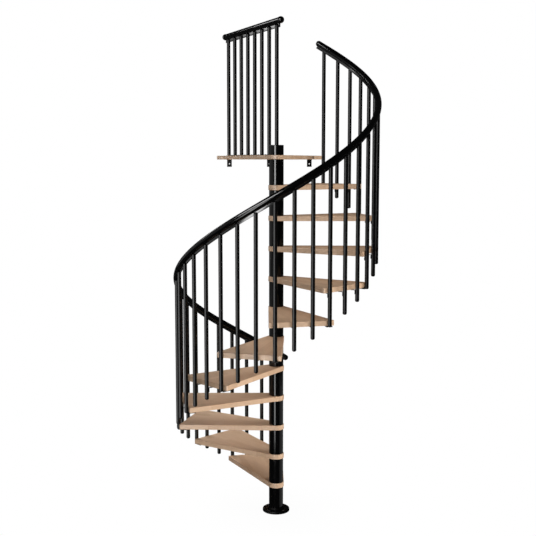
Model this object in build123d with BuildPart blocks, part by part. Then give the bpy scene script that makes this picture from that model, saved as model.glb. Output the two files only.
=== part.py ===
from build123d import *
from math import atan2, cos, degrees, hypot, pi, radians, sin
import os

# Spiral stair: beech treads and black sleeves threaded on one steel pole, with a helical handrail.
# The pole stands on the origin, +Z is up, and the stair climbs anticlockwise seen from above.

# Flight
RISE = 207.0
TREAD_COUNT = 11
STEP_ANGLE = 30.0
FIRST_TREAD_ANGLE = 104.4
CLEARANCE = 0.3

# Base flange, pole and sleeves
FLANGE_DIAMETER = 187.0
FLANGE_THICKNESS = 17.0
FLANGE_EDGE_ROUND = 6.0
COLLAR_WIDTH = 7.0
COLLAR_HEIGHT = 8.0
COLLAR_CHAMFER = 5.0
ANCHOR_CIRCLE_DIAMETER = 146.0
ANCHOR_HOLE_DIAMETER = 11.0
ANCHOR_COUNT = 4
ANCHOR_START_ANGLE = 45.0
POLE_DIAMETER = 60.0
POLE_WALL = 4.0
SLEEVE_DIAMETER = 98.6
SLEEVE_WALL = 3.0
CAP_HEIGHT = 67.5
CAP_EDGE_ROUND = 2.0

# Treads
HUB_DIAMETER = 108.0
TREAD_THICKNESS = 34.0
TREAD_END_GAP = 1.8
TREAD_CORNER_MARGIN = 35.0
TREAD_CORNER_RADIUS = 8.0
TREAD_EDGE_ROUND = 3.0

# Balusters of the flight
BALUSTER_DIAMETER = 27.0
BALUSTER_CIRCLE_RADIUS = 679.0
BALUSTER_LENGTH = 996.5
BALUSTER_END_ROUND = 10.0
BALUSTERS_PER_STEP = 3

# Steel seats and angles that tie the balusters to the tread ends
SEAT_THICKNESS = 7.0
SEAT_WIDTH = 36.0
ANGLE_WIDTH = 14.0
ANGLE_THICKNESS = 3.0
ANGLE_LEG = 46.0
ANGLE_TAB = 28.0

# Handrail and the flat bar under it
HANDRAIL_DIAMETER = 42.0
STRIP_DROP = 36.0
STRIP_THICKNESS = 10.0
STRIP_OFFSET = 2.0
STRIP_INSET = 2.0
RAIL_LOW_OVERHANG = 63.0
RAIL_HIGH_OVERHANG = 43.0

# Landing board, its rail and its wall angles
LANDING_THICKNESS = 28.0
LANDING_DEPTH = 880.0
LANDING_LEFT = 456.0
LANDING_RIGHT = 365.0
LANDING_CORNER_RADIUS = 14.0
LANDING_RAIL_HEIGHT = 895.0
LANDING_RAIL_NEAR = (37.0, 8.5)
LANDING_RAIL_FAR = (-397.0, 930.5)
LANDING_RAIL_OVERHANG = 82.0
LANDING_STRIP_DROP = 43.0
LANDING_STRIP_NEAR_INSET = 30.0
LANDING_BALUSTER_COUNT = 8
BASE_STRIP_WIDTH = 30.0
BASE_STRIP_THICKNESS = 5.0
BASE_STRIP_OVERHANG = 12.0
WALL_ANGLE_WIDTH = 36.0
WALL_ANGLE_THICKNESS = 4.0
WALL_ANGLE_LEG = 60.0
WALL_ANGLE_DROP = 56.0
WALL_ANGLE_HOLE_DIAMETER = 9.0
WALL_ANGLE_HOLE_DROP = 33.0
WALL_ANGLE_SPACING = 306.5
WALL_ANGLE_MIDDLE = -54.0

# Sizes that follow from the ones above
pitch = RISE * 360 / STEP_ANGLE
climb_slope = degrees(atan2(pitch, 2 * pi * BALUSTER_CIRCLE_RADIUS))
baluster_step = STEP_ANGLE / BALUSTERS_PER_STEP
first_baluster_angle = FIRST_TREAD_ANGLE - STEP_ANGLE / 2
last_baluster_angle = first_baluster_angle + TREAD_COUNT * STEP_ANGLE
baluster_radius = BALUSTER_DIAMETER / 2
handrail_radius = HANDRAIL_DIAMETER / 2
corner_baluster_reach = BALUSTER_CIRCLE_RADIUS * cos(radians(STEP_ANGLE / 2))
corner_baluster_side = BALUSTER_CIRCLE_RADIUS * sin(radians(STEP_ANGLE / 2))
tread_reach = corner_baluster_reach - baluster_radius - TREAD_END_GAP
tread_half_width = corner_baluster_side + TREAD_CORNER_MARGIN
landing_underside = (TREAD_COUNT + 1) * RISE - TREAD_THICKNESS
landing_top = landing_underside + LANDING_THICKNESS


def around(angle, radius, height):
    """The point at an angle from +X, a distance from the pole and a height."""
    return (radius * cos(radians(angle)), radius * sin(radians(angle)), height)


def tread_plane(number, height=0):
    """A level plane whose X runs along one tread, from the pole to the tread's outer end."""
    angle = FIRST_TREAD_ANGLE + (number - 1) * STEP_ANGLE
    return Plane(origin=(0, 0, height), x_dir=around(angle, 1, 0), z_dir=(0, 0, 1))


def foot_height(angle):
    """Height of the line of feet, level with the underside of the seat at each tread's rear corner."""
    steps = (angle - first_baluster_angle) / STEP_ANGLE
    return steps * RISE - TREAD_THICKNESS - SEAT_THICKNESS


def head_drop(slope):
    """How far below a rail's centre a bar's rounded top ends, so that it just clears a rail of that slope."""
    turn = radians(slope)
    corner = (baluster_radius - BALUSTER_END_ROUND) * sin(turn) + BALUSTER_END_ROUND * (1 - cos(turn))
    return (handrail_radius + CLEARANCE + corner) / cos(turn)


def rail_height(angle):
    """Height of the handrail's centre line, which follows the baluster tops."""
    return foot_height(angle) + BALUSTER_LENGTH + head_drop(climb_slope)


def rail_helix(start_angle, end_angle):
    """Centre line of the handrail between two angles."""
    rise = rail_height(end_angle) - rail_height(start_angle)
    helix = Edge.make_helix(pitch, rise, BALUSTER_CIRCLE_RADIUS, center=(0, 0, rail_height(start_angle)))
    return helix.rotate(Axis.Z, start_angle)


def rail_plane(angle):
    """Plane square to the handrail, X pointing at the pole, Y upwards and Z up the climb."""
    along = (
        -sin(radians(angle)) * cos(radians(climb_slope)),
        cos(radians(angle)) * cos(radians(climb_slope)),
        sin(radians(climb_slope)),
    )
    origin = around(angle, BALUSTER_CIRCLE_RADIUS, rail_height(angle))
    return Plane(origin=origin, x_dir=around(angle, -1, 0), z_dir=along)


def draw_strip_section(drop):
    """Section of the flat bar in the current sketch: on the walking side, hollowed above to cradle the rail."""
    with Locations((STRIP_OFFSET, -drop)):
        Rectangle(STRIP_THICKNESS, drop, align=(Align.MIN, Align.MIN))
    Circle(handrail_radius + CLEARANCE, mode=Mode.SUBTRACT)


def end_cap(plane):
    """Half ball that closes a rail's end, on the side that the plane's Z points to."""
    side = Plane(origin=plane.origin, x_dir=plane.x_dir, z_dir=-plane.y_dir)
    with BuildPart() as cap:
        with BuildSketch(side):
            with BuildLine():
                Line((0, 0), (handrail_radius, 0))
                CenterArc((0, 0), handrail_radius, 0, 90)
                Line((0, handrail_radius), (0, 0))
            make_face()
        revolve(axis=Axis(plane.origin, plane.z_dir))
    return cap.part


def baluster(rail_square, foot, top_drop, strip_drop):
    """Round bar with rounded ends up to a rail, its head cut back on the walking side to lap the flat bar."""
    place = rail_square.origin
    with BuildPart() as bar:
        with BuildSketch(Plane(origin=(place.X, place.Y, foot))):
            Circle(baluster_radius)
        extrude(amount=place.Z - top_drop - foot)
        fillet(bar.edges().filter_by(GeomType.CIRCLE), radius=BALUSTER_END_ROUND)
        with BuildSketch(rail_square):
            with Locations((STRIP_OFFSET - CLEARANCE, -strip_drop - CLEARANCE)):
                Rectangle(BALUSTER_DIAMETER, strip_drop, align=(Align.MIN, Align.MIN))
        extrude(amount=strip_drop + BALUSTER_DIAMETER, both=True, mode=Mode.SUBTRACT)
    return bar.part


def stair_baluster(angle):
    """Baluster of the flight: down to the line of feet, or to the floor at the start."""
    return baluster(rail_plane(angle), max(foot_height(angle), 0), head_drop(climb_slope), STRIP_DROP)


def baluster_seat(number):
    """Flat steel seat under a tread's rear corner, its end forked round the inner half of a baluster's foot."""
    leg_start = tread_reach - ANGLE_LEG
    with BuildPart() as seat:
        with BuildSketch(tread_plane(number, number * RISE - TREAD_THICKNESS)):
            with Locations((leg_start, corner_baluster_side)):
                Rectangle(corner_baluster_reach - leg_start, SEAT_WIDTH, align=(Align.MIN, Align.CENTER))
            with Locations((corner_baluster_reach, corner_baluster_side)):
                Circle(baluster_radius + CLEARANCE, mode=Mode.SUBTRACT)
        extrude(amount=-SEAT_THICKNESS)
    return seat.part


def tread_angle_piece(number, offset_angle):
    """Bent steel angle under a tread end, its tab hanging against the inner side of a baluster."""
    across = BALUSTER_CIRCLE_RADIUS * sin(radians(offset_angle))
    tab_face = BALUSTER_CIRCLE_RADIUS * cos(radians(offset_angle)) - baluster_radius - CLEARANCE
    leg_start = tread_reach - ANGLE_LEG
    underside = number * RISE - TREAD_THICKNESS
    side = Plane(
        origin=tread_plane(number).from_local_coords((0, across - ANGLE_WIDTH / 2, underside)),
        x_dir=tread_plane(number).x_dir,
        z_dir=-tread_plane(number).y_dir,
    )
    with BuildPart() as angle_piece:
        with BuildSketch(side):
            with BuildLine():
                Polyline(
                    (leg_start, 0),
                    (leg_start, -ANGLE_THICKNESS),
                    (tab_face - ANGLE_THICKNESS, -ANGLE_THICKNESS),
                    (tab_face - ANGLE_THICKNESS, -ANGLE_TAB),
                    (tab_face, -ANGLE_TAB),
                    (tab_face, 0),
                    close=True,
                )
            make_face()
        extrude(amount=-ANGLE_WIDTH)
    return angle_piece.part


# Base flange: turned steel disc with a rounded rim, holes for floor anchors and a chamfered collar round the column
with BuildPart() as base_flange:
    with BuildSketch():
        Circle(FLANGE_DIAMETER / 2)
    extrude(amount=FLANGE_THICKNESS)
    fillet(base_flange.edges().group_by(Axis.Z)[-1], radius=FLANGE_EDGE_ROUND)
    with BuildSketch(base_flange.faces().sort_by(Axis.Z)[-1]):
        with PolarLocations(ANCHOR_CIRCLE_DIAMETER / 2, ANCHOR_COUNT, start_angle=ANCHOR_START_ANGLE):
            Circle(ANCHOR_HOLE_DIAMETER / 2)
    extrude(amount=-FLANGE_THICKNESS, mode=Mode.SUBTRACT)
    with BuildSketch(Plane.XY.offset(FLANGE_THICKNESS)):
        Circle(SLEEVE_DIAMETER / 2 + COLLAR_WIDTH)
        Circle(SLEEVE_DIAMETER / 2 + CLEARANCE, mode=Mode.SUBTRACT)
    extrude(amount=COLLAR_HEIGHT)
    collar_rims = base_flange.edges().group_by(Axis.Z)[-1]
    chamfer(collar_rims.sort_by(SortBy.LENGTH)[-1], length=COLLAR_CHAMFER)

# Pole: steel tube welded on the flange, hidden in the sleeves and the tread hubs
with BuildPart() as centre_pole:
    with BuildSketch(Plane.XY.offset(FLANGE_THICKNESS)):
        Circle(POLE_DIAMETER / 2)
        Circle(POLE_DIAMETER / 2 - POLE_WALL, mode=Mode.SUBTRACT)
    extrude(amount=landing_top + CAP_HEIGHT / 2 - FLANGE_THICKNESS)

# Sleeves: one tube between each pair of hubs
with BuildPart() as column_sleeves:
    for number in range(1, TREAD_COUNT + 2):
        bottom = max((number - 1) * RISE, FLANGE_THICKNESS)
        with BuildSketch(Plane.XY.offset(bottom)):
            Circle(SLEEVE_DIAMETER / 2)
            Circle(SLEEVE_DIAMETER / 2 - SLEEVE_WALL, mode=Mode.SUBTRACT)
        extrude(amount=number * RISE - TREAD_THICKNESS - bottom)

# Cap: short closed sleeve that ends the column above the landing
with BuildPart() as column_cap:
    with BuildSketch(Plane.XY.offset(landing_top)):
        Circle(SLEEVE_DIAMETER / 2)
    extrude(amount=CAP_HEIGHT)
    fillet(column_cap.edges().group_by(Axis.Z)[-1], radius=CAP_EDGE_ROUND)
    with BuildSketch(Plane.XY.offset(landing_top)):
        Circle(SLEEVE_DIAMETER / 2 - SLEEVE_WALL)
    extrude(amount=CAP_HEIGHT - SLEEVE_WALL, mode=Mode.SUBTRACT)

# Handrail: round tube bent to a helix over the balusters
rail_start_angle = first_baluster_angle - degrees(RAIL_LOW_OVERHANG / BALUSTER_CIRCLE_RADIUS)
rail_end_angle = last_baluster_angle + degrees(RAIL_HIGH_OVERHANG / BALUSTER_CIRCLE_RADIUS)
with BuildPart() as handrail:
    with BuildLine() as handrail_path:
        add(rail_helix(rail_start_angle, rail_end_angle))
    with BuildSketch(rail_plane(rail_start_angle)):
        Circle(handrail_radius)
    sweep(path=handrail_path.wires()[0], is_frenet=True)

# Flat bar under the handrail, screwed to the baluster heads from the walking side
strip_inset_angle = degrees(STRIP_INSET / BALUSTER_CIRCLE_RADIUS)
with BuildPart() as handrail_strip:
    with BuildLine() as strip_path:
        add(rail_helix(rail_start_angle + strip_inset_angle, rail_end_angle - strip_inset_angle))
    with BuildSketch(rail_plane(rail_start_angle + strip_inset_angle)):
        draw_strip_section(STRIP_DROP)
    sweep(path=strip_path.wires()[0], is_frenet=True)

# Landing board: wedge from the hub to a straight wall edge
with BuildPart() as landing_board:
    with BuildSketch(Plane.XY.offset(landing_underside)):
        Circle(HUB_DIAMETER / 2)
        corner_depth = LANDING_DEPTH - LANDING_CORNER_RADIUS
        left_corner = (LANDING_CORNER_RADIUS - LANDING_LEFT, corner_depth)
        right_corner = (LANDING_RIGHT - LANDING_CORNER_RADIUS, corner_depth)
        with Locations(left_corner, right_corner):
            Circle(LANDING_CORNER_RADIUS)
        make_hull()
    extrude(amount=LANDING_THICKNESS)
    level_edges = landing_board.edges().group_by(Axis.Z)
    fillet(level_edges[0] + level_edges[-1], radius=TREAD_EDGE_ROUND)
    with BuildSketch(Plane.XY.offset(landing_underside)):
        Circle(POLE_DIAMETER / 2 + CLEARANCE)
    extrude(amount=LANDING_THICKNESS, mode=Mode.SUBTRACT)

# Landing rail: straight and level, from the wall to the column, X of its planes to the walking side
rail_run = (LANDING_RAIL_NEAR[0] - LANDING_RAIL_FAR[0], LANDING_RAIL_NEAR[1] - LANDING_RAIL_FAR[1])
rail_length = hypot(*rail_run)
rail_along = (rail_run[0] / rail_length, rail_run[1] / rail_length, 0)
landing_rail_start = Plane(
    origin=(*LANDING_RAIL_FAR, landing_top + LANDING_RAIL_HEIGHT),
    x_dir=(-rail_along[1], rail_along[0], 0),
    z_dir=rail_along,
)
tube_start = landing_rail_start.offset(handrail_radius)
tube_length = rail_length - HANDRAIL_DIAMETER
with BuildPart() as landing_handrail:
    with BuildSketch(tube_start):
        Circle(handrail_radius)
    extrude(amount=tube_length)

with BuildPart() as landing_strip:
    with BuildSketch(tube_start.offset(STRIP_INSET)):
        draw_strip_section(LANDING_STRIP_DROP)
    extrude(amount=tube_length - STRIP_INSET - LANDING_STRIP_NEAR_INSET)

# Base strip: flat steel bar on the board, which the landing balusters stand on
base_strip_start = landing_rail_start.offset(LANDING_RAIL_OVERHANG - BASE_STRIP_OVERHANG)
with BuildPart() as landing_base_strip:
    with BuildSketch(base_strip_start):
        with Locations((0, -LANDING_RAIL_HEIGHT)):
            Rectangle(BASE_STRIP_WIDTH, BASE_STRIP_THICKNESS, align=(Align.CENTER, Align.MIN))
    extrude(amount=rail_length - 2 * (LANDING_RAIL_OVERHANG - BASE_STRIP_OVERHANG))

baluster_pitch = (rail_length - 2 * LANDING_RAIL_OVERHANG) / (LANDING_BALUSTER_COUNT - 1)
landing_bars = [
    baluster(
        landing_rail_start.offset(LANDING_RAIL_OVERHANG + number * baluster_pitch),
        landing_top + BASE_STRIP_THICKNESS,
        head_drop(0),
        LANDING_STRIP_DROP,
    )
    for number in range(LANDING_BALUSTER_COUNT)
]
with BuildPart() as landing_balusters:
    add(landing_bars)

# Caps in the four rail ends
rail_low_end = rail_plane(rail_start_angle)
rail_ends = [
    Plane(rail_low_end.origin, x_dir=rail_low_end.x_dir, z_dir=-rail_low_end.z_dir),
    rail_plane(rail_end_angle),
    Plane(tube_start.origin, x_dir=tube_start.x_dir, z_dir=-tube_start.z_dir),
    tube_start.offset(tube_length),
]
half_balls = [end_cap(plane) for plane in rail_ends]
with BuildPart() as rail_end_caps:
    add(half_balls)

# Wall angles: three bent steel plates under the landing's wall edge
with BuildPart() as landing_wall_angles:
    for number in (-1, 0, 1):
        middle = WALL_ANGLE_MIDDLE + number * WALL_ANGLE_SPACING
        side = Plane(origin=(middle, LANDING_DEPTH, landing_underside), x_dir=(0, -1, 0), z_dir=(-1, 0, 0))
        with BuildSketch(side):
            with BuildLine():
                Polyline(
                    (0, 0),
                    (WALL_ANGLE_LEG, 0),
                    (WALL_ANGLE_LEG, -WALL_ANGLE_THICKNESS),
                    (WALL_ANGLE_THICKNESS, -WALL_ANGLE_THICKNESS),
                    (WALL_ANGLE_THICKNESS, -WALL_ANGLE_DROP),
                    (0, -WALL_ANGLE_DROP),
                    close=True,
                )
            make_face()
        extrude(amount=WALL_ANGLE_WIDTH / 2, both=True)
        hole_height = landing_underside - WALL_ANGLE_HOLE_DROP
        with BuildSketch(Plane(origin=(middle, LANDING_DEPTH, hole_height), x_dir=(1, 0, 0), z_dir=(0, -1, 0))):
            Circle(WALL_ANGLE_HOLE_DIAMETER / 2)
        extrude(amount=WALL_ANGLE_THICKNESS, mode=Mode.SUBTRACT)

os.makedirs("parts", exist_ok=True)
single_pieces = {
    "base_flange": base_flange,
    "centre_pole": centre_pole,
    "column_sleeves": column_sleeves,
    "column_cap": column_cap,
    "handrail": handrail,
    "handrail_strip": handrail_strip,
    "rail_end_caps": rail_end_caps,
    "landing_board": landing_board,
    "landing_handrail": landing_handrail,
    "landing_strip": landing_strip,
    "landing_base_strip": landing_base_strip,
    "landing_balusters": landing_balusters,
    "landing_wall_angles": landing_wall_angles,
}
for name, piece in single_pieces.items():
    piece.part.label = name
    export_step(piece.part, f"parts/{name}.step")

# Steps: a tread, its steel seat and angles, and the balusters that it carries
for number in range(1, TREAD_COUNT + 1):
    with BuildPart() as tread:
        with BuildSketch(tread_plane(number, number * RISE - TREAD_THICKNESS)):
            Circle(HUB_DIAMETER / 2)
            corner_reach = tread_reach - TREAD_CORNER_RADIUS
            corner_side = tread_half_width - TREAD_CORNER_RADIUS
            with Locations((corner_reach, corner_side), (corner_reach, -corner_side)):
                Circle(TREAD_CORNER_RADIUS)
            make_hull()
        extrude(amount=TREAD_THICKNESS)
        level_edges = tread.edges().group_by(Axis.Z)
        fillet(level_edges[0] + level_edges[-1], radius=TREAD_EDGE_ROUND)
        with BuildSketch(Plane.XY.offset(number * RISE - TREAD_THICKNESS)):
            Circle(POLE_DIAMETER / 2 + CLEARANCE)
        extrude(amount=TREAD_THICKNESS, mode=Mode.SUBTRACT)
    tread.part.label = f"tread_{number:02d}"
    export_step(tread.part, f"parts/tread_{number:02d}.step")

    rear_angle = first_baluster_angle + number * STEP_ANGLE
    bar_count = BALUSTERS_PER_STEP + 1 if number == 1 else BALUSTERS_PER_STEP
    bars = [stair_baluster(rear_angle - index * baluster_step) for index in range(bar_count)]
    with BuildPart() as step_balusters:
        add(bars)
    step_balusters.part.label = f"balusters_{number:02d}"
    export_step(step_balusters.part, f"parts/balusters_{number:02d}.step")

    tie_pieces = [baluster_seat(number)]
    for index in range(1, BALUSTERS_PER_STEP + 1):
        tie_pieces.append(tread_angle_piece(number, STEP_ANGLE / 2 - index * baluster_step))
    with BuildPart() as step_angles:
        add(tie_pieces)
    step_angles.part.label = f"tread_angles_{number:02d}"
    export_step(step_angles.part, f"parts/tread_angles_{number:02d}.step")
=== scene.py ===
from math import atan2, cos, degrees, hypot, pi, radians, sin, tan

import bmesh
import bpy
import numpy as np
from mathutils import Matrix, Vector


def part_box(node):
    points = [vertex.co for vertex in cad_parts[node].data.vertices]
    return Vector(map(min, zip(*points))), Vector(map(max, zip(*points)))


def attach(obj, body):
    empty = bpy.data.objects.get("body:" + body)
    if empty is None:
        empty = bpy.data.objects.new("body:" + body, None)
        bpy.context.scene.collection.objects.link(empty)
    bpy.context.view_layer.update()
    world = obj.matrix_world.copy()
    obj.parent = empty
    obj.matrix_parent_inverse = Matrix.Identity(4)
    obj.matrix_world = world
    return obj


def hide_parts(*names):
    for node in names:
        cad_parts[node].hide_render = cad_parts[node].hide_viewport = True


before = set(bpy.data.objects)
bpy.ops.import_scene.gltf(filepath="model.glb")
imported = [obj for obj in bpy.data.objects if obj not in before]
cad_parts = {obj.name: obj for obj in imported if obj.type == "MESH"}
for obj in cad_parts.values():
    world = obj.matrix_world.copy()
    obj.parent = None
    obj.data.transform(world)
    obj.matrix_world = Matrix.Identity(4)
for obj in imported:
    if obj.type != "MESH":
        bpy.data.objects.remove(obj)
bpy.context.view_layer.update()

# Base flange: a turned steel disc with a collar round the column's foot, painted flat black.
# It stands on the floor, and four low socket screws go down through it into floor anchors.

FLANGE_TOP = 0.017
FLANGE_EDGE_ROUND = 0.006
COLLAR_RADIUS = 0.0563
COLLAR_CHAMFER = 0.005
ANCHOR_CIRCLE = 0.073
ANCHOR_COUNT = 4
ANCHOR_START = radians(45)
ANCHOR_HEAD = (0.0100, 0.0042)
HEAD_DOME = 58
SOCKET_SHARE = 0.42
SOCKET_FLOOR_SHARE = 1 / 3
SOCKET_SIDES = 6
SCREW_COLUMNS = 24
NEARLY_UPRIGHT = 0.9
ROUND_STEPS = 8
FINE_COLUMNS = 96
SHARP_ANGLE = radians(38)
MERGE_DISTANCE = 1e-6
EDGE_HOLD = 0.001

POWDER_BLACK = (0.0030, 0.0030, 0.0033, 1)
POWDER_BLACK_LIGHTER = (0.0048, 0.0048, 0.0052, 1)
POWDER_SMOOTH, POWDER_ROUGH = 0.23, 0.26
PAINT_IOR = 1.5
CLOUD_SCALE = 9.0
CLOUD_DETAIL = 3.0
CLOUD_RANGE = (0.3, 0.7)
DUST_SCALE = 1700.0
DUST_RANGE = (0.66, 0.74)
DUST_ROUGHNESS = 0.03


def arc(centre, radius, start, end, steps=ROUND_STEPS):
    """Arc of a profile: centre plus radius times (cos, sin) of even angles from start to end, in degrees."""
    turn = np.radians(np.linspace(start, end, steps))
    return np.stack([centre[0] + radius * np.cos(turn), centre[1] + radius * np.sin(turn)], axis=1)


def around(angle, radius, height):
    """Points about the pole: (radius cos angle, radius sin angle, height), for numbers or arrays."""
    return np.stack(np.broadcast_arrays(radius * np.cos(angle), radius * np.sin(angle), height), axis=-1)


def turned(profile, columns=FINE_COLUMNS):
    """Surface of revolution: each (radius, height) of the profile is swept round Z at even angles."""
    profile = np.asarray(profile, float)
    return around(np.linspace(0, 2 * pi, columns, endpoint=False), profile[:, :1], profile[:, 1:])


def skin(name, points, material, slot, replaced=(), ring=False, **coordinates):
    """Piece made of grids of points (copies, rows, columns, 3): quads join neighbours, columns form loops.

    With ring the last row joins the first one. A row that shrinks to one point is merged into a pole.
    Each extra array of the same shape is kept on the mesh as a vector attribute for its material.
    """
    grids = points.reshape(-1, *points.shape[-3:])
    copies, rows, columns = grids.shape[:3]
    row = np.arange(rows if ring else rows - 1)[:, None]
    column = np.arange(columns)[None, :]
    above, beside = (row + 1) % rows, (column + 1) % columns
    lower, upper = row * columns, above * columns
    corners = [lower + column, lower + beside, upper + beside, upper + column]
    quads = np.stack(np.broadcast_arrays(*corners), axis=-1).reshape(1, -1, 4)
    quads = quads + np.arange(copies)[:, None, None] * rows * columns
    mesh = bpy.data.meshes.new(name)
    mesh.from_pydata(grids.reshape(-1, 3).tolist(), [], quads.reshape(-1, 4).tolist())
    for label, values in coordinates.items():
        layer = mesh.attributes.new(label, "FLOAT_VECTOR", "POINT")
        layer.data.foreach_set("vector", values.reshape(-1).astype(np.float32))
    merged = bmesh.new()
    merged.from_mesh(mesh)
    bmesh.ops.remove_doubles(merged, verts=merged.verts, dist=MERGE_DISTANCE)
    merged.to_mesh(mesh)
    merged.free()
    mesh.shade_smooth()
    mesh.set_sharp_from_angle(angle=SHARP_ANGLE)
    mesh.materials.append(material)
    item = bpy.data.objects.new(name, mesh)
    bpy.context.scene.collection.objects.link(item)
    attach(item, "root")
    if replaced:
        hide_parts(*replaced)
    return item


def place(tree, kind, links=None, **settings):
    """Node of a tree with its settings; links gives inputs, by name or number, a value or another socket."""
    made = tree.nodes.new(kind)
    for key, value in settings.items():
        setattr(made, key, value)
    for key, value in (links or {}).items():
        if isinstance(value, bpy.types.NodeSocket):
            tree.links.new(value, made.inputs[key])
        else:
            made.inputs[key].default_value = value
    return made


def sums(tree, operation, *values):
    """Output of a Math node on one, two or three numbers or sockets."""
    return place(tree, "ShaderNodeMath", dict(enumerate(values)), operation=operation).outputs[0]


def noise(tree, position, scale, detail, distortion=0.0):
    """Output of a Noise Texture node over a position."""
    values = {"Vector": position, "Scale": scale, "Detail": detail, "Distortion": distortion}
    return place(tree, "ShaderNodeTexNoise", values).outputs["Fac"]


def ranged(tree, value, low, high, start=0.0, end=1.0):
    """Output of a Map Range node that goes from start to end while the value goes from low to high."""
    return place(tree, "ShaderNodeMapRange", dict(enumerate((value, low, high, start, end)))).outputs[0]


def mixed(tree, share, first, second):
    """Colour output of a Mix node between two colours."""
    return place(tree, "ShaderNodeMix", {0: share, 6: first, 7: second}, data_type="RGBA").outputs[2]


def effect(name, inputs, outputs):
    """Empty shader group with named inputs and outputs, given as (name, socket kind, default value)."""
    group = bpy.data.node_groups.new(name, "ShaderNodeTree")
    for label, kind, value in inputs:
        group.interface.new_socket(label, in_out="INPUT", socket_type=kind).default_value = value
    for label, kind in outputs:
        group.interface.new_socket(label, in_out="OUTPUT", socket_type=kind)
    return group, group.nodes.new("NodeGroupInput").outputs, group.nodes.new("NodeGroupOutput").inputs


def surface(name, **shader_values):
    """New material with one Principled shader, whose even values are set on its own sockets."""
    material = bpy.data.materials.new(name)
    material.use_nodes = True
    shader = material.node_tree.nodes["Principled BSDF"]
    for label, value in shader_values.items():
        shader.inputs[label.replace("_", " ").title().replace("Ior", "IOR")].default_value = value
    return material, material.node_tree, shader


# The painted skin that all black pieces share: slow clouds of tone and gloss, and fine settled dust.
paint_skin, skin_in, skin_out = effect(
    "paint_skin",
    [
        ("Position", "NodeSocketVector", (0, 0, 0)),
        ("Dark", "NodeSocketColor", POWDER_BLACK),
        ("Light", "NodeSocketColor", POWDER_BLACK_LIGHTER),
        ("Smooth", "NodeSocketFloat", POWDER_SMOOTH),
        ("Rough", "NodeSocketFloat", POWDER_ROUGH),
    ],
    [("Color", "NodeSocketColor"), ("Roughness", "NodeSocketFloat")],
)
clouds = noise(paint_skin, skin_in["Position"], CLOUD_SCALE, CLOUD_DETAIL)
dust = noise(paint_skin, skin_in["Position"], DUST_SCALE, 0.0)
specks = ranged(paint_skin, dust, *DUST_RANGE)
cloud_gloss = ranged(paint_skin, clouds, *CLOUD_RANGE, skin_in["Smooth"], skin_in["Rough"])
dusty_gloss = sums(paint_skin, "MULTIPLY_ADD", specks, DUST_ROUGHNESS, cloud_gloss)
paint_skin.links.new(mixed(paint_skin, clouds, skin_in["Dark"], skin_in["Light"]), skin_out["Color"])
paint_skin.links.new(dusty_gloss, skin_out["Roughness"])


def painted(name, position, skin_values, **shader_values):
    """Painted material: the shared skin over the given position coordinates."""
    material, tree, shader = surface(name, ior=PAINT_IOR, **shader_values)
    if position == "Object":
        where = place(tree, "ShaderNodeTexCoord").outputs["Object"]
    else:
        where = place(tree, "ShaderNodeAttribute", attribute_name=position).outputs["Vector"]
    coat = place(tree, "ShaderNodeGroup", node_tree=paint_skin)
    tree.links.new(where, coat.inputs["Position"])
    for label, value in skin_values.items():
        coat.inputs[label].default_value = value
    tree.links.new(coat.outputs["Color"], shader.inputs["Base Color"])
    tree.links.new(coat.outputs["Roughness"], shader.inputs["Roughness"])
    return material


def socket_screws(name, centres, axes, head, material):
    """Low round screw heads at centres (copies, 3), each facing along its axis, with a hexagon socket.

    The rows are the seat's middle, the dome of an ellipse of the head's radius and height from its rim up,
    and the socket's mouth, floor edge and floor middle. The socket's radius is its apothem over the cosine
    of the angle from the middle of each side.
    """
    radius, height = head
    turn = np.linspace(0, 2 * pi, SCREW_COLUMNS, endpoint=False)
    side = 2 * pi / SOCKET_SIDES
    socket = SOCKET_SHARE * radius / np.cos(turn % side - side / 2)
    bulge = np.radians(np.linspace(0, HEAD_DOME, ROUND_STEPS))[:, None]
    round_row = 0 * turn
    out = np.stack([round_row, *(radius * np.cos(bulge) + round_row), socket, socket, round_row])
    mouth = height * sin(radians(HEAD_DOME))
    bed = SOCKET_FLOOR_SHARE * mouth
    levels = np.concatenate([[0], height * np.sin(bulge[:, 0]), [mouth, bed, bed]])[:, None]
    axes = axes / np.linalg.norm(axes, axis=-1, keepdims=True)
    helper = np.where(np.abs(axes[:, 2:]) > NEARLY_UPRIGHT, (1.0, 0.0, 0.0), (0.0, 0.0, 1.0))
    first = np.cross(helper, axes)
    first = first / np.linalg.norm(first, axis=-1, keepdims=True)
    second = np.cross(axes, first)
    first, second, axes, centres = (part[:, None, None, :] for part in (first, second, axes, centres))
    across = (out * np.cos(turn))[None, ..., None] * first + (out * np.sin(turn))[None, ..., None] * second
    heads = centres + across + levels[None, ..., None] * axes
    skin(name, heads, material, "black_steel")


powder_coat = painted("satin_powder_coat", "Object", {}, specular_ior_level=0.42)
flat_black = painted(
    "flat_black_paint", "Object",
    {"Dark": (0.0020, 0.0020, 0.0022, 1), "Light": (0.0030, 0.0030, 0.0033, 1),
     "Smooth": 0.34, "Rough": 0.40},
    specular_ior_level=0.08,
)
deep_gloss = painted(
    "deep_black_gloss", "Object",
    {"Dark": (0.0020, 0.0020, 0.0022, 1), "Light": (0.0032, 0.0032, 0.0035, 1),
     "Smooth": 0.09, "Rough": 0.12},
    specular_ior_level=0.28,
)
screw_steel = painted(
    "blackened_screw_steel", "Object",
    {"Dark": (0.010, 0.010, 0.011, 1), "Light": (0.020, 0.020, 0.022, 1),
     "Smooth": 0.26, "Rough": 0.36},
    metallic=0.5,
)

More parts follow.
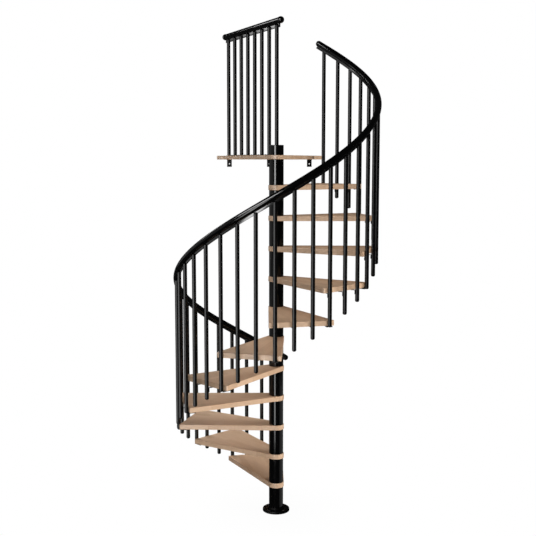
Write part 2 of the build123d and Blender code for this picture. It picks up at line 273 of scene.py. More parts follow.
flange_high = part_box("base_flange")[1]
flange_rim = flange_high.x - FLANGE_EDGE_ROUND
collar_edge = COLLAR_RADIUS - COLLAR_CHAMFER
flange_profile = np.concatenate([
    [(0, 0), (flange_high.x - MERGE_DISTANCE, 0), (flange_high.x, MERGE_DISTANCE)],
    arc((flange_rim, FLANGE_TOP - FLANGE_EDGE_ROUND), FLANGE_EDGE_ROUND, 0, 90),
    [(COLLAR_RADIUS, FLANGE_TOP), (COLLAR_RADIUS, flange_high.z - COLLAR_CHAMFER)],
    [(collar_edge, flange_high.z), (0, flange_high.z)],
])
skin("turned_flange", turned(flange_profile), flat_black, "black_steel", ["base_flange"])

bolt_turn = ANCHOR_START + np.arange(ANCHOR_COUNT) * 2 * pi / ANCHOR_COUNT
bolt_places = around(bolt_turn, ANCHOR_CIRCLE, FLANGE_TOP)
socket_screws("flange_anchor_screws", bolt_places, 0 * bolt_places + (0, 0, 1), ANCHOR_HEAD, screw_steel)

# Column: twelve steel sleeves slid over the hidden pole, one under each tread hub and one under the landing.
# A short closed one above the landing clamps them down. Their black is deeper and glossier than the bars'.

SLEEVE_RADIUS = 0.0493
SLEEVE_WALL = 0.003
SLEEVE_EDGE_ROUND = 0.0012
CAP_EDGE_ROUND = 0.003
SMALL_ROUND_STEPS = 4
TREAD_COUNT = 11


def dress(node, material):
    """Give a CAD node one material."""
    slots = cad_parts[node].data.materials
    slots.clear()
    slots.append(material)


dress("centre_pole", powder_coat)
step_numbers = np.arange(1, TREAD_COUNT + 1)
tread_names = [f"tread_{number:02d}" for number in step_numbers]
tread_levels = np.array([[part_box(name)[0].z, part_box(name)[1].z] for name in tread_names])
landing_low, landing_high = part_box("landing_board")
sleeve_bottoms = np.concatenate([[FLANGE_TOP], tread_levels[:, 1]])
sleeve_tops = np.concatenate([tread_levels[:, 0], [landing_low.z]])
round_in = SLEEVE_RADIUS - SLEEVE_EDGE_ROUND
bore = SLEEVE_RADIUS - SLEEVE_WALL
hold_row = np.array([[SLEEVE_RADIUS, SLEEVE_EDGE_ROUND + EDGE_HOLD]])
eased_edge = arc((round_in, SLEEVE_EDGE_ROUND), SLEEVE_EDGE_ROUND, -90, 0, SMALL_ROUND_STEPS)
lower_edge = np.concatenate([eased_edge, hold_row])
upper_edge = lower_edge[::-1] * (1, -1)
lower_half = turned(np.concatenate([[(bore, 0)], lower_edge]))
upper_half = turned(np.concatenate([upper_edge, [(bore, 0)]]))
sleeves = np.concatenate([
    lower_half + around(0, 0, sleeve_bottoms)[:, None, None, :],
    upper_half + around(0, 0, sleeve_tops)[:, None, None, :],
], axis=1)
skin("column_sleeve_set", sleeves, deep_gloss, "black_steel", ["column_sleeves"], ring=True)

cap_low, cap_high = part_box("column_cap")
cap_profile = np.concatenate([
    [(0, cap_low.z)],
    lower_edge + (0, cap_low.z),
    [(SLEEVE_RADIUS, cap_high.z - CAP_EDGE_ROUND - EDGE_HOLD)],
    arc((SLEEVE_RADIUS - CAP_EDGE_ROUND, cap_high.z - CAP_EDGE_ROUND), CAP_EDGE_ROUND, 0, 90),
    [(0, cap_high.z)],
])
skin("column_top_cap", turned(cap_profile), deep_gloss, "black_steel", ["column_cap"])

# Treads: eleven solid wedges of stave-glued beech, clear lacquered, their edges eased by a small round.
# Each has a round hub that is threaded on the pole between two sleeves, and its staves run along the tread.

FIRST_TREAD_ANGLE = radians(104.4)
STEP_ANGLE = radians(30)
BALUSTER_CIRCLE = 0.679
BALUSTER_RADIUS = 0.0135
TREAD_END_GAP = 0.0018
TREAD_CORNER_MARGIN = 0.035
TREAD_CORNER_ROUND = 0.008
TREAD_EDGE_ROUND = 0.003
HUB_RADIUS = 0.054
POLE_BORE = 0.0303
STRAIGHT_STEPS = 28
STAVE_WIDTH = 0.044
STAVE_LENGTH = 0.46
GLUE_LINE = 0.00028
NEXT_BOARD = np.array([1.37, 0.5173, 0.11])
STAVE_SHIFT = 7.3
BLOCK_SHIFT = (9.0, 9.0, 9.0)
FLAME_STRETCH = (2.2, 34.0, 34.0)
FLAME_DISTORTION = 0.4
RING_COUNT = 58.0
FIBRE_STRETCH = (26.0, 900.0, 900.0)
FLECK_STRETCH = (150.0, 1250.0, 1250.0)
FLECK_RANGE = (0.66, 0.72)
BLOCK_TONE, RING_TONE, FIBRE_TONE = 0.66, 0.20, 0.28
FLECK_STRENGTH, GLUE_STRENGTH = 0.45, 0.55
LACQUER_ROUGHNESS, MARK_ROUGHNESS, FIBRE_ROUGHNESS = 0.34, 0.15, 0.16
FIBRE_HEIGHT = 0.5

BEECH_PALE = (0.660, 0.458, 0.306, 1)
BEECH_DEEP = (0.520, 0.336, 0.208, 1)
BEECH_VEIN = (0.380, 0.230, 0.140, 1)


def beech_boards(name):
    """Lacquered beech from the board attribute: X runs along the grain, Y across it, Z through the board."""
    material, tree, shader = surface(name, ior=1.46, coat_weight=0.12, coat_roughness=0.25)
    board = place(tree, "ShaderNodeAttribute", attribute_name="board").outputs["Vector"]
    along, across, _ = place(tree, "ShaderNodeSeparateXYZ", {0: board}).outputs
    stave_share = sums(tree, "DIVIDE", across, STAVE_WIDTH)
    stave = sums(tree, "FLOOR", stave_share)
    stave_draw = place(tree, "ShaderNodeTexWhiteNoise", {"W": stave}, noise_dimensions="1D").outputs["Value"]
    length_share = sums(tree, "DIVIDE", along, STAVE_LENGTH)
    length_share = sums(tree, "MULTIPLY_ADD", stave_draw, STAVE_SHIFT, length_share)
    block = sums(tree, "FLOOR", length_share)
    block_place = place(tree, "ShaderNodeCombineXYZ", {0: stave, 1: block}).outputs[0]
    block_draw = place(
        tree, "ShaderNodeTexWhiteNoise", {"Vector": block_place}, noise_dimensions="3D"
    ).outputs
    shift = {0: block_draw["Color"], 1: BLOCK_SHIFT, 2: board}
    shifted = place(tree, "ShaderNodeVectorMath", shift, operation="MULTIPLY_ADD").outputs[0]

    def stretched(scale, detail, distortion=0.0):
        """Noise drawn out along the grain, the same through one block of wood."""
        drawn = place(tree, "ShaderNodeVectorMath", {0: shifted, 1: scale}, operation="MULTIPLY").outputs[0]
        return noise(tree, drawn, 1.0, detail, distortion)

    flame = stretched(FLAME_STRETCH, 2.0, FLAME_DISTORTION)
    rings = sums(tree, "SINE", sums(tree, "MULTIPLY", flame, RING_COUNT))
    ring_shade = sums(tree, "MULTIPLY_ADD", rings, 0.5, 0.5)
    fibre = stretched(FIBRE_STRETCH, 3.0)
    flecks = ranged(tree, stretched(FLECK_STRETCH, 1.0), *FLECK_RANGE)

    def edge_line(share, size):
        """Mask of a thin glue line where a share passes a whole number."""
        from_middle = sums(tree, "ABSOLUTE", sums(tree, "SUBTRACT", sums(tree, "FRACT", share), 0.5))
        return sums(tree, "GREATER_THAN", from_middle, 0.5 - GLUE_LINE / size)

    glue = sums(tree, "MAXIMUM", edge_line(stave_share, STAVE_WIDTH), edge_line(length_share, STAVE_LENGTH))
    tone = sums(tree, "MULTIPLY", ring_shade, RING_TONE)
    tone = sums(tree, "MULTIPLY_ADD", block_draw["Value"], BLOCK_TONE, tone)
    tone = sums(tree, "MULTIPLY_ADD", fibre, FIBRE_TONE, tone)
    wood = mixed(tree, tone, BEECH_PALE, BEECH_DEEP)
    fleck_marks = sums(tree, "MULTIPLY", flecks, FLECK_STRENGTH)
    marks = sums(tree, "MAXIMUM", fleck_marks, sums(tree, "MULTIPLY", glue, GLUE_STRENGTH))
    veined = mixed(tree, marks, wood, BEECH_VEIN)
    gloss = sums(tree, "MULTIPLY_ADD", marks, MARK_ROUGHNESS, LACQUER_ROUGHNESS)
    gloss = sums(tree, "MULTIPLY_ADD", fibre, FIBRE_ROUGHNESS, gloss)
    height = sums(tree, "SUBTRACT", sums(tree, "MULTIPLY", fibre, FIBRE_HEIGHT), marks)
    bump = place(tree, "ShaderNodeBump", {"Strength": 0.25, "Distance": 0.0002, "Height": height})
    tree.links.new(veined, shader.inputs["Base Color"])
    tree.links.new(gloss, shader.inputs["Roughness"])
    tree.links.new(bump.outputs["Normal"], shader.inputs["Normal"])
    return material


def wedge_outline(circles):
    """Outline of the hull of circles (x, y, radius) listed anticlockwise, and its outward normals.

    The line from one circle to the next leaves at the angle whose cosine along the line of centres is the
    difference of the radii over their distance; each circle adds the arc between its two lines.
    """
    x, y, radius = np.array(circles).T
    next_x, next_y, next_radius = np.roll(x, -1), np.roll(y, -1), np.roll(radius, -1)
    span = np.hypot(next_x - x, next_y - y)
    leave = np.arctan2(next_y - y, next_x - x) - np.arccos((radius - next_radius) / span)
    arrive = np.roll(leave, 1)
    sweep = (leave - arrive) % (2 * pi)
    share = np.linspace(0, 1, STRAIGHT_STEPS)
    angle = arrive[:, None] + sweep[:, None] * share
    normal = np.stack([np.cos(angle), np.sin(angle)], axis=-1)
    arcs = np.stack([x, y], axis=-1)[:, None, :] + radius[:, None, None] * normal
    starts, ends = arcs[:, -1:], np.roll(arcs[:, :1], -1, axis=0)
    straights = starts + (ends - starts) * np.linspace(0, 1, STRAIGHT_STEPS + 2)[None, 1:-1, None]
    flat_normals = np.broadcast_to(normal[:, -1:], straights.shape)
    outline = np.concatenate([arcs, straights], axis=1).reshape(-1, 2)
    return outline, np.concatenate([normal, flat_normals], axis=1).reshape(-1, 2)


def bored_board(circles, bottom, top, edge_round, bore_radius):
    """Board with rounded edges and a bore at the origin, from its bore's lower rim round to the upper one."""
    outline, normal = wedge_outline(circles)
    hold = edge_round + EDGE_HOLD
    edge = np.concatenate([
        [(-hold, bottom)], arc((-edge_round, bottom + edge_round), edge_round, -90, 0), [(0, bottom + hold)],
        [(0, top - hold)], arc((-edge_round, top - edge_round), edge_round, 0, 90), [(-hold, top)],
    ])
    sides = outline[None] + edge[:, :1, None] * normal[None]
    sides = np.concatenate([sides, np.broadcast_to(edge[:, 1:, None], (*sides.shape[:2], 1))], axis=-1)
    turn = np.arctan2(outline[:, 1], outline[:, 0])
    rims = [around(turn, bore_radius, level) for level in (bottom, top)]
    return np.concatenate([rims[:1], sides, rims[1:]])


def spun(points, turn, height=0.0):
    """Points turned about the pole by an angle and raised by a height."""
    x, y, z = np.moveaxis(points, -1, 0)
    return np.stack([x * cos(turn) - y * sin(turn), x * sin(turn) + y * cos(turn), z + height], axis=-1)


beech = beech_boards("stave_glued_beech")
corner_reach = BALUSTER_CIRCLE * cos(STEP_ANGLE / 2) - BALUSTER_RADIUS - TREAD_END_GAP - TREAD_CORNER_ROUND
corner_side = BALUSTER_CIRCLE * sin(STEP_ANGLE / 2) + TREAD_CORNER_MARGIN - TREAD_CORNER_ROUND
tread_circles = [
    (0, 0, HUB_RADIUS),
    (corner_reach, -corner_side, TREAD_CORNER_ROUND),
    (corner_reach, corner_side, TREAD_CORNER_ROUND),
]
for number, name, (bottom, top) in zip(step_numbers, tread_names, tread_levels):
    local = bored_board(tread_circles, 0, top - bottom, TREAD_EDGE_ROUND, POLE_BORE)
    turn = FIRST_TREAD_ANGLE + (number - 1) * STEP_ANGLE
    skin(f"beech_{name}", spun(local, turn, bottom), beech, "beech", [name], ring=True,
         board=local + number * NEXT_BOARD)

# Ties: a forked seat and three bent angles of black steel under each tread end, which hold the balusters.
# Two socket screws fix each of them up into the wood, and one goes through each tab into its baluster.

BALUSTERS_PER_STEP = 3
SEAT_THICKNESS = 0.007
ANGLE_THICKNESS = 0.003
CLEARANCE = 0.0003
LEG_SCREWS = np.array([0.014, 0.036])
TAB_SCREW_DROP = 0.017
TIE_HEAD = (0.0050, 0.0028)

tread_reach = corner_reach + TREAD_CORNER_ROUND
tie_turn = STEP_ANGLE / 2 - np.arange(BALUSTERS_PER_STEP + 1) * STEP_ANGLE / BALUSTERS_PER_STEP
tie_side = BALUSTER_CIRCLE * np.sin(tie_turn)
tab_face = BALUSTER_CIRCLE * np.cos(tie_turn) - BALUSTER_RADIUS - CLEARANCE - ANGLE_THICKNESS
leg_drop = np.where(np.arange(BALUSTERS_PER_STEP + 1) == 0, SEAT_THICKNESS, ANGLE_THICKNESS)
leg_x = np.repeat(tread_reach - LEG_SCREWS, len(tie_turn))
leg_places = np.stack([leg_x, np.tile(tie_side, 2), -np.tile(leg_drop, 2)], axis=-1)
tab_places = np.stack([tab_face[1:], tie_side[1:], 0 * tab_face[1:] - TAB_SCREW_DROP], axis=-1)
tie_places = np.concatenate([leg_places, tab_places])
tie_axes = np.concatenate([0 * leg_places + (0, 0, -1), 0 * tab_places + (-1, 0, 0)])

for number in step_numbers:
    dress(f"tread_angles_{number:02d}", powder_coat)
tread_turns = FIRST_TREAD_ANGLE + (step_numbers - 1) * STEP_ANGLE
socket_screws(
    "tie_screws",
    np.concatenate([spun(tie_places, turn, level) for turn, level in zip(tread_turns, tread_levels[:, 0])]),
    np.concatenate([spun(tie_axes, turn) for turn in tread_turns]),
    TIE_HEAD, screw_steel,
)

# Balusters: round black steel bars with rounded ends, three to a step and one more at the start.
# The rear one of each step sits in its fork, and all heads are lapped to the flat bar under the handrail.

BALUSTER_LENGTH = 0.9965
BALUSTER_END_ROUND = 0.010
RAIL_RADIUS = 0.021
BAR_DROP = 0.036
BAR_THICKNESS = 0.010
BAR_OFFSET = 0.002
BALUSTER_COLUMNS = 48

rise = tread_levels[1, 1] - tread_levels[0, 1]
tread_thickness = tread_levels[0, 1] - tread_levels[0, 0]
climb_slope = atan2(rise * 2 * pi / STEP_ANGLE, 2 * pi * BALUSTER_CIRCLE)
first_baluster = FIRST_TREAD_ANGLE - STEP_ANGLE / 2


def feet_line(angle):
    """Height of the line of feet at an angle: it climbs one rise a step, level with the seats' undersides."""
    return (angle - first_baluster) / STEP_ANGLE * rise - tread_thickness - SEAT_THICKNESS


def head_drop(slope):
    """How far below a rail's centre a bar's rounded top ends, so that it just clears a rail of that slope."""
    corner = (BALUSTER_RADIUS - BALUSTER_END_ROUND) * sin(slope) + BALUSTER_END_ROUND * (1 - cos(slope))
    return (RAIL_RADIUS + CLEARANCE + corner) / cos(slope)


def rail_level(angle):
    """Height of the handrail's centre line at an angle."""
    return feet_line(angle) + BALUSTER_LENGTH + head_drop(climb_slope)


def balusters(ground, inward, foot, foot_edge, rail, slope, bar_drop):
    """Bars at ground points (copies, 2): circles of the rows' radius, cut flat on the inward side at the lap.

    The rows are the rounded foot, the two edges of the sloping shoulder of the lap, and the rounded head.
    """
    flat = BALUSTER_RADIUS - BALUSTER_END_ROUND
    hold_row = [(BALUSTER_RADIUS, foot_edge + EDGE_HOLD)]
    foot_round = np.concatenate([arc((BALUSTER_RADIUS - foot_edge, foot_edge), foot_edge, -90, 0), hold_row])
    head_round = arc((flat, -BALUSTER_END_ROUND), BALUSTER_END_ROUND, 0, 90)
    radius = np.concatenate([[0], foot_round[:, 0], [BALUSTER_RADIUS] * 2, head_round[:, 0], [0]])
    radius = radius[None, :, None]
    lapped = np.arange(radius.size)[None, :, None] > len(foot_round) + 1
    turn = np.linspace(2 * pi, 0, BALUSTER_COLUMNS, endpoint=False)[None, None, :]
    inner = radius * np.cos(turn)
    inner = np.where(lapped, np.minimum(inner, BAR_OFFSET - CLEARANCE), inner)
    side = radius * np.sin(turn)
    foot, rail = foot[:, None, None], rail[:, None, None]
    shoulder_slant = np.repeat(BALUSTER_RADIUS * np.sin(turn) * tan(slope), 2, axis=1)
    shoulder = rail - (bar_drop + CLEARANCE) / cos(slope) + shoulder_slant
    lower = foot + np.concatenate([[0], foot_round[:, 1]])[None, :, None] + 0 * turn
    upper = rail - head_drop(slope) + np.concatenate([head_round[:, 1], [0]])[None, :, None] + 0 * turn
    height = np.concatenate([lower, shoulder, upper], axis=1)
    along = np.stack([inward[:, 1], -inward[:, 0]], axis=-1)
    x = ground[:, 0, None, None] + inner * inward[:, 0, None, None] + side * along[:, 0, None, None]
    y = ground[:, 1, None, None] + inner * inward[:, 1, None, None] + side * along[:, 1, None, None]
    return np.stack([x, y, height], axis=-1)


for number in step_numbers:
    count = BALUSTERS_PER_STEP + 1 if number == 1 else BALUSTERS_PER_STEP
    angle = first_baluster + (number - np.arange(count) / BALUSTERS_PER_STEP) * STEP_ANGLE
    radial = np.stack([np.cos(angle), np.sin(angle)], axis=-1)
    foot = np.maximum(feet_line(angle), 0)
    bars = balusters(
        BALUSTER_CIRCLE * radial, -radial, foot, BALUSTER_END_ROUND, rail_level(angle), climb_slope, BAR_DROP
    )
    skin(f"round_balusters_{number:02d}", bars, powder_coat, "black_steel", [f"balusters_{number:02d}"])

# Handrail: a round black plastic rail bent to a helix, pushed onto a flat steel bar that joins the balusters.
# The bar lies on the walking side and is painted satin grey-black; half-ball caps close the rail's ends.

RAIL_LOW_OVERHANG = 0.063
RAIL_HIGH_OVERHANG = 0.043
BAR_INSET = 0.002
BAR_EDGE_ROUND = 0.001
RAIL_STATIONS = 620
RAIL_COLUMNS = 56
CAP_SKIRT = 0.007
CAP_PROUD = 0.0004
CAP_STEPS = 20
HOLLOW_STEPS = 6
LAP_SCREW_SHARE = 0.75
LAP_HEAD = (0.0042, 0.0024)

rail_plastic = painted(
    "gloss_rail_plastic", "rail",
    {"Dark": (0.0018, 0.0018, 0.0020, 1), "Light": (0.0030, 0.0030, 0.0033, 1),
     "Smooth": 0.10, "Rough": 0.14},
    specular_ior_level=0.25,
)
bar_paint = painted(
    "satin_bar_paint", "rail",
    {"Dark": (0.0040, 0.0040, 0.0043, 1), "Light": (0.0065, 0.0065, 0.0068, 1),
     "Smooth": 0.16, "Rough": 0.20},
    specular_ior_level=0.85,
)


def climb_frame(angle):
    """Centre, inward, upward and forward directions of the handrail at angles, each (stations, 1, 3)."""
    centre = around(angle, BALUSTER_CIRCLE, rail_level(angle))
    inward = -around(angle, 1, 0)
    forward = around(angle + pi / 2, cos(climb_slope), sin(climb_slope))
    return [part[:, None, :] for part in (centre, inward, np.cross(forward, inward), forward)]


def carried(section, path):
    """Section (columns, 2) carried along a path's centres and directions, its ends closed by its middle."""
    centre, inward, upward, _ = path
    middle = section.mean(axis=0)
    loop = centre + section[:, :1] * inward + section[:, 1:] * upward
    ends = centre + middle[0] * inward + middle[1] * upward + 0 * loop
    return np.concatenate([ends[:1], loop, ends[-1:]])


def straightened(section, lengths):
    """Coordinates of a carried section as if its path were straight: (length along, section x, section y)."""
    stations = np.concatenate([lengths[:1], lengths, lengths[-1:]])[:, None]
    return np.stack(np.broadcast_arrays(stations, section[:, 0], section[:, 1]), axis=-1)


def half_ball(centre, side, upward, forward, proud):
    """End cap turned about the forward direction: a skirt a little proud of the rail, then a half ball."""
    radius = RAIL_RADIUS + proud
    profile = np.concatenate([[(0, -CAP_SKIRT), (RAIL_RADIUS, -CAP_SKIRT)], [(radius, -CAP_SKIRT + proud)],
                              arc((0, 0), radius, 0, 90, CAP_STEPS)])
    local = turned(profile, RAIL_COLUMNS)
    return centre + local[..., :1] * side + local[..., 1:2] * upward + local[..., 2:] * forward, local


rail_round = arc((0, 0), RAIL_RADIUS, 0, 360, RAIL_COLUMNS + 1)[:-1]
hollow = RAIL_RADIUS + CLEARANCE
bar_right = BAR_OFFSET + BAR_THICKNESS
hollow_start, hollow_end = (-degrees(np.arccos(edge / hollow)) for edge in (bar_right, BAR_OFFSET))


def bar_section(drop):
    """Section of a flat bar that reaches a drop below the rail's centre: two eased corners and the hollow."""
    low = BAR_EDGE_ROUND - drop
    return np.concatenate([
        arc((BAR_OFFSET + BAR_EDGE_ROUND, low), BAR_EDGE_ROUND, 180, 270, SMALL_ROUND_STEPS),
        arc((bar_right - BAR_EDGE_ROUND, low), BAR_EDGE_ROUND, 270, 360, SMALL_ROUND_STEPS),
        arc((0, 0), hollow, hollow_start, hollow_end, HOLLOW_STEPS),
    ])


last_baluster = first_baluster + TREAD_COUNT * STEP_ANGLE
rail_angles = np.linspace(first_baluster - RAIL_LOW_OVERHANG / BALUSTER_CIRCLE,
                          last_baluster + RAIL_HIGH_OVERHANG / BALUSTER_CIRCLE, RAIL_STATIONS)
bar_angles = np.linspace(rail_angles[0] + BAR_INSET / BALUSTER_CIRCLE,
                         rail_angles[-1] - BAR_INSET / BALUSTER_CIRCLE, RAIL_STATIONS)
climb_length = BALUSTER_CIRCLE / cos(climb_slope)
skin("helical_handrail", carried(rail_round, climb_frame(rail_angles)), rail_plastic, "black_rail",
     ["handrail"], rail=straightened(rail_round, rail_angles * climb_length))
climb_bar = bar_section(BAR_DROP)
skin("handrail_flat_bar", carried(climb_bar, climb_frame(bar_angles)), bar_paint, "strip_steel",
     ["handrail_strip"], rail=straightened(climb_bar, bar_angles * climb_length))
lap_angles = np.linspace(first_baluster, last_baluster, TREAD_COUNT * BALUSTERS_PER_STEP + 1)
lap_level = rail_level(lap_angles) - LAP_SCREW_SHARE * BAR_DROP / cos(climb_slope)
lap_places = around(lap_angles, BALUSTER_CIRCLE - bar_right, lap_level)
socket_screws("bar_screws", lap_places, -around(lap_angles, 1, 0), LAP_HEAD, screw_steel)

# Landing: a wedge board of the same beech, threaded on the pole and held to the upper floor by three angles.
# Its left edge has a level rail: eight balusters on a flat base strip, a flat bar and a straight round rail.

LANDING_HUB = 0.054
LANDING_CORNER_ROUND = 0.014
LANDING_RAIL_HEIGHT = 0.895
LANDING_RAIL_NEAR = np.array([0.037, 0.0085])
LANDING_RAIL_FAR = np.array([-0.397, 0.9305])
LANDING_RAIL_OVERHANG = 0.082
LANDING_BAR_DROP = 0.043
LANDING_BAR_NEAR_INSET = 0.030
LANDING_BALUSTER_COUNT = 8
BASE_STRIP_THICKNESS = 0.005
STANDING_FOOT_EDGE = 0.0015
LANDING_CAP_PROUD = 0.0022
WALL_ANGLE_PLACES = (-0.3605, -0.054, 0.2525)
WALL_ANGLE_THICKNESS = 0.004
WALL_SCREW_DEPTH = 0.038

corner_depth = landing_high.y - LANDING_CORNER_ROUND
landing_circles = [
    (0, 0, LANDING_HUB),
    (landing_high.x - LANDING_CORNER_ROUND, corner_depth, LANDING_CORNER_ROUND),
    (landing_low.x + LANDING_CORNER_ROUND, corner_depth, LANDING_CORNER_ROUND),
]
landing = bored_board(landing_circles, landing_low.z, landing_high.z, TREAD_EDGE_ROUND, POLE_BORE)
skin("beech_landing", landing, beech, "beech", ["landing_board"], ring=True,
     board=landing - (0, 0, landing_low.z) + (TREAD_COUNT + 1) * NEXT_BOARD)
dress("landing_wall_angles", flat_black)
dress("landing_base_strip", flat_black)

run = LANDING_RAIL_NEAR - LANDING_RAIL_FAR
run_length = hypot(*run)
run_way = run / run_length
walking_side = np.array([-run_way[1], run_way[0]])
landing_rail_level = landing_high.z + LANDING_RAIL_HEIGHT


def level_frame(stations):
    """Centre and directions of the landing rail at distances from its far end, as for the climbing rail."""
    ground = LANDING_RAIL_FAR + stations[:, None] * run_way
    height = np.full((len(stations), 1), landing_rail_level)
    still = 0 * stations[:, None]
    inward = np.concatenate([still + walking_side, still], axis=1)
    forward = np.concatenate([still + run_way, still], axis=1)
    upward = np.concatenate([still, still, still + 1], axis=1)
    return [part[:, None, :] for part in (np.concatenate([ground, height], axis=1), inward, upward, forward)]


tube_ends = np.array([RAIL_RADIUS, run_length - RAIL_RADIUS])
bar_ends = tube_ends + (BAR_INSET, -LANDING_BAR_NEAR_INSET)
level_bar = bar_section(LANDING_BAR_DROP)
skin("landing_round_rail", carried(rail_round, level_frame(tube_ends)), rail_plastic, "black_rail",
     ["landing_handrail"], rail=straightened(rail_round, tube_ends))
landing_bar = skin("landing_flat_bar", carried(level_bar, level_frame(bar_ends)), bar_paint, "strip_steel",
                   ["landing_strip"], rail=straightened(level_bar, bar_ends))
stations = np.linspace(LANDING_RAIL_OVERHANG, run_length - LANDING_RAIL_OVERHANG, LANDING_BALUSTER_COUNT)
posts = LANDING_RAIL_FAR + stations[:, None] * run_way
bars = balusters(posts, walking_side + 0 * posts, landing_high.z + BASE_STRIP_THICKNESS + 0 * stations,
                 STANDING_FOOT_EDGE, landing_rail_level + 0 * stations, 0, LANDING_BAR_DROP)
skin("landing_round_balusters", bars, powder_coat, "black_steel", ["landing_balusters"])
lap_centre, lap_inward, lap_upward, _ = level_frame(stations)
lap_places = (lap_centre + bar_right * lap_inward - LAP_SCREW_SHARE * LANDING_BAR_DROP * lap_upward)[:, 0]
socket_screws("landing_bar_screws", lap_places, lap_inward[:, 0], LAP_HEAD, screw_steel)
between = (stations[1:] + stations[:-1]) / 2
strip_places = np.concatenate([LANDING_RAIL_FAR + between[:, None] * run_way,
                               np.full((len(between), 1), landing_high.z + BASE_STRIP_THICKNESS)], axis=1)
socket_screws("base_strip_screws", strip_places, 0 * strip_places + (0, 0, 1), TIE_HEAD, screw_steel)
wall_screw_row = (landing_high.y - WALL_SCREW_DEPTH, landing_low.z - WALL_ANGLE_THICKNESS)
wall_places = np.array([(x, *wall_screw_row) for x in WALL_ANGLE_PLACES])
socket_screws("wall_angle_screws", wall_places, 0 * wall_places + (0, 0, -1), TIE_HEAD, screw_steel)

climb_ends = climb_frame(rail_angles[[0, -1]])
level_ends = level_frame(tube_ends)
balls = []
for (centre, inward, upward, forward), proud in ((climb_ends, CAP_PROUD), (level_ends, LANDING_CAP_PROUD)):
    balls.append(half_ball(centre[0], -inward[0], upward[0], -forward[0], proud))
    balls.append(half_ball(centre[1], inward[1], upward[1], forward[1], proud))
skin("rail_half_ball_caps", np.stack([ball[0] for ball in balls]), rail_plastic, "black_rail",
     ["rail_end_caps"], rail=np.stack([ball[1] for ball in balls]))

# Studio: a pale floor, a white surround, and a camera in front at the height of the landing. Lights that are
# only reflected draw the lines on the black pieces: a broad one for the round bars, strips for the column,
# and narrow ones for the rails and flat bars. Soft lights that are not reflected light the wood.

FLOOR_HALF = 30.0
FLOOR_GLOW_NEAR, FLOOR_GLOW_FAR = (0.09, 0.97), (0.60, 1.0)
SURROUND_LIGHT = 0.30
SURROUND_REFLECTED = 0.03
SURROUND_SEEN = 1.0
CAMERA_PLACE = (0.0, -6.321, 2.437)
CAMERA_TILT = radians(90 - 6.541)
CAMERA_PAN = radians(0.512)
CAMERA_LENS = 62.56
SENSOR_WIDTH = 36.0

floor_mesh = bpy.data.meshes.new("studio_floor")
floor_corners = FLOOR_HALF * np.array([(-1, -1, 0), (1, -1, 0), (1, 1, 0), (-1, 1, 0)])
floor_mesh.from_pydata(floor_corners.tolist(), [], [(0, 1, 2, 3)])
floor = bpy.data.objects.new("studio_floor", floor_mesh)
bpy.context.scene.collection.objects.link(floor)
floor_paint, tree, shader = surface("pale_floor", base_color=(0.8, 0.8, 0.8, 1), roughness=0.9)
rays = place(tree, "ShaderNodeLightPath").outputs
glow = place(tree, "ShaderNodeEmission", {"Color": (1, 1, 1, 1), "Strength": 1.0})
floor_place = place(tree, "ShaderNodeTexCoord").outputs["Object"]
spread = place(tree, "ShaderNodeVectorMath", {0: floor_place}, operation="LENGTH").outputs["Value"]
fade = ranged(tree, spread, FLOOR_GLOW_NEAR[0], FLOOR_GLOW_FAR[0], FLOOR_GLOW_NEAR[1], FLOOR_GLOW_FAR[1])
seen_fade = sums(tree, "MULTIPLY", fade, rays["Is Camera Ray"])
blend = place(tree, "ShaderNodeMixShader", {0: seen_fade, 1: shader.outputs[0], 2: glow.outputs[0]})
tree.links.new(blend.outputs[0], tree.nodes["Material Output"].inputs["Surface"])
floor_mesh.materials.append(floor_paint)
floor.visible_glossy = False
floor.visible_shadow = False


def lit_group(name, pieces):
    """Collection of the pieces that a light falls on."""
    group = bpy.data.collections.new(name)
    for piece in pieces:
        group.objects.link(piece)
    return group


def softbox(name, place_at, aim, size, radiance, falls_on, reflected):
    """Rectangular light on some pieces, at a place and facing an aim point, either only reflected or never.

    Its power is pi times its area times its radiance.
    """
    lamp = bpy.data.lights.new(name, "AREA")
    lamp.shape = "RECTANGLE"
    lamp.size, lamp.size_y = size
    lamp.energy = pi * size[0] * size[1] * radiance
    light = bpy.data.objects.new(name, lamp)
    light.location = place_at
    away = np.subtract(place_at, aim)
    light.rotation_euler = (atan2(hypot(away[0], away[1]), away[2]), 0, atan2(away[0], -away[1]))
    light.visible_camera = False
    light.visible_glossy = reflected
    light.visible_diffuse = not reflected
    light.light_linking.receiver_collection = falls_on
    bpy.context.scene.collection.objects.link(light)


meshes = [item for item in bpy.context.scene.objects if item.type == "MESH"]
round_bars = lit_group("round_bars", [item for item in meshes if item.active_material == powder_coat])
others = lit_group("all_but_round_bars", [item for item in meshes if item.active_material != powder_coat])
column = lit_group("column", [item for item in meshes if item.active_material == deep_gloss])
wood = lit_group("wood_and_floor", [item for item in meshes if item.active_material in (beech, floor_paint)])
level_bar_only = lit_group("landing_bar", [landing_bar])
softbox("bar_wall_light", (-3.9, -3.6, 1.75), (0, 0.3, 1.75), (7.0, 6.5), 2.8, round_bars, True)
softbox("tall_strip_light", (-2.10, -5.62, 0.35), (0, 0, 0.35), (2.2, 3.3), 8.0, others, True)
softbox("upper_strip_light", (-2.10, -5.62, 2.55), (0, 0, 2.55), (2.2, 1.1), 16.0, others, True)
softbox("low_right_light", (4.5, 1.0, -1.1), (0, 1.0, -1.1), (7.5, 1.8), 0.5, column, True)
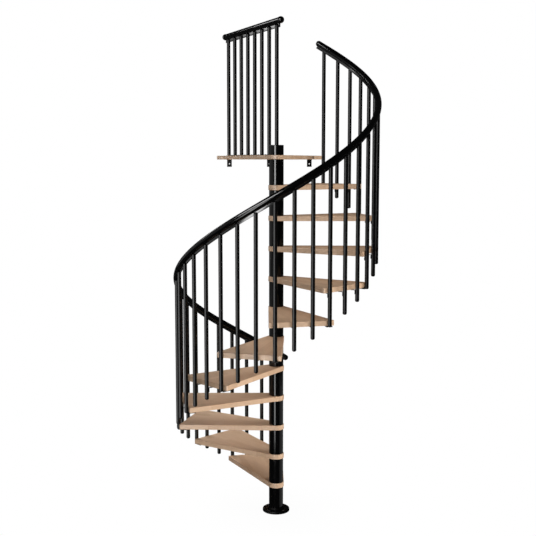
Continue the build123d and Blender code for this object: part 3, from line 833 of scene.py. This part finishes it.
softbox("left_wall_light", (-4.5, -0.45, 2.4), (0, -0.45, 2.4), (7.0, 5.0), 0.45, others, True)
softbox("left_rear_light", (-4.58, 3.06, 4.2), (0, 0, 3.3), (0.9, 0.8), 5.0, others, True)
softbox("landing_line_light", (-4.1, 3.65, 4.75), (0, 0, 3.37), (0.8, 0.5), 8.0, others, True)
softbox("landing_bar_light", (-4.4, 3.6, 4.05), (0, 0.1, 3.3), (0.8, 1.0), 2.6, level_bar_only, True)
softbox("wall_patch_light", (-4.4, 1.72, 3.57), (0.5, 0.4, 3.1), (0.5, 0.8), 4.5, others, True)
softbox("rail_line_light", (-2.51, -2.80, 4.4), (-1.17, -0.57, 2.2), (3.4, 0.8), 34.0, others, True)
softbox("low_front_light", (1.25, -3.4, 0.3), (0, 0, 0.7), (2.4, 1.4), 6.7, wood, False)
softbox("low_rear_light", (-1.2, 2.3, 2.1), (-0.3, 0.2, 0.5), (1.5, 1.5), 7.0, wood, False)
softbox("right_side_light", (4.5, -0.8, 2.6), (0, 0.4, 2.45), (2.0, 2.0), 10.0, wood, False)
softbox("top_light", (-1.0, -1.3, 7.0), (0, 0, 0), (4.0, 4.0), 2.15, wood, False)

world = bpy.data.worlds.new("white_surround")
world.use_nodes = True
bpy.context.scene.world = world
tree = world.node_tree
rays = place(tree, "ShaderNodeLightPath").outputs
unseen = ranged(tree, rays["Is Glossy Ray"], 0, 1, SURROUND_LIGHT, SURROUND_REFLECTED)
strength = ranged(tree, rays["Is Camera Ray"], 0, 1, unseen, SURROUND_SEEN)
tree.links.new(strength, tree.nodes["Background"].inputs["Strength"])
tree.nodes["Background"].inputs["Color"].default_value = (1, 1, 1, 1)

lens = bpy.data.cameras.new("photo_camera")
lens.lens = CAMERA_LENS
lens.sensor_width = SENSOR_WIDTH
camera = bpy.data.objects.new("photo_camera", lens)
camera.location = CAMERA_PLACE
camera.rotation_euler = (CAMERA_TILT, 0, CAMERA_PAN)
bpy.context.scene.collection.objects.link(camera)
bpy.context.scene.camera = camera
bpy.context.scene.view_settings.view_transform = "Standard"
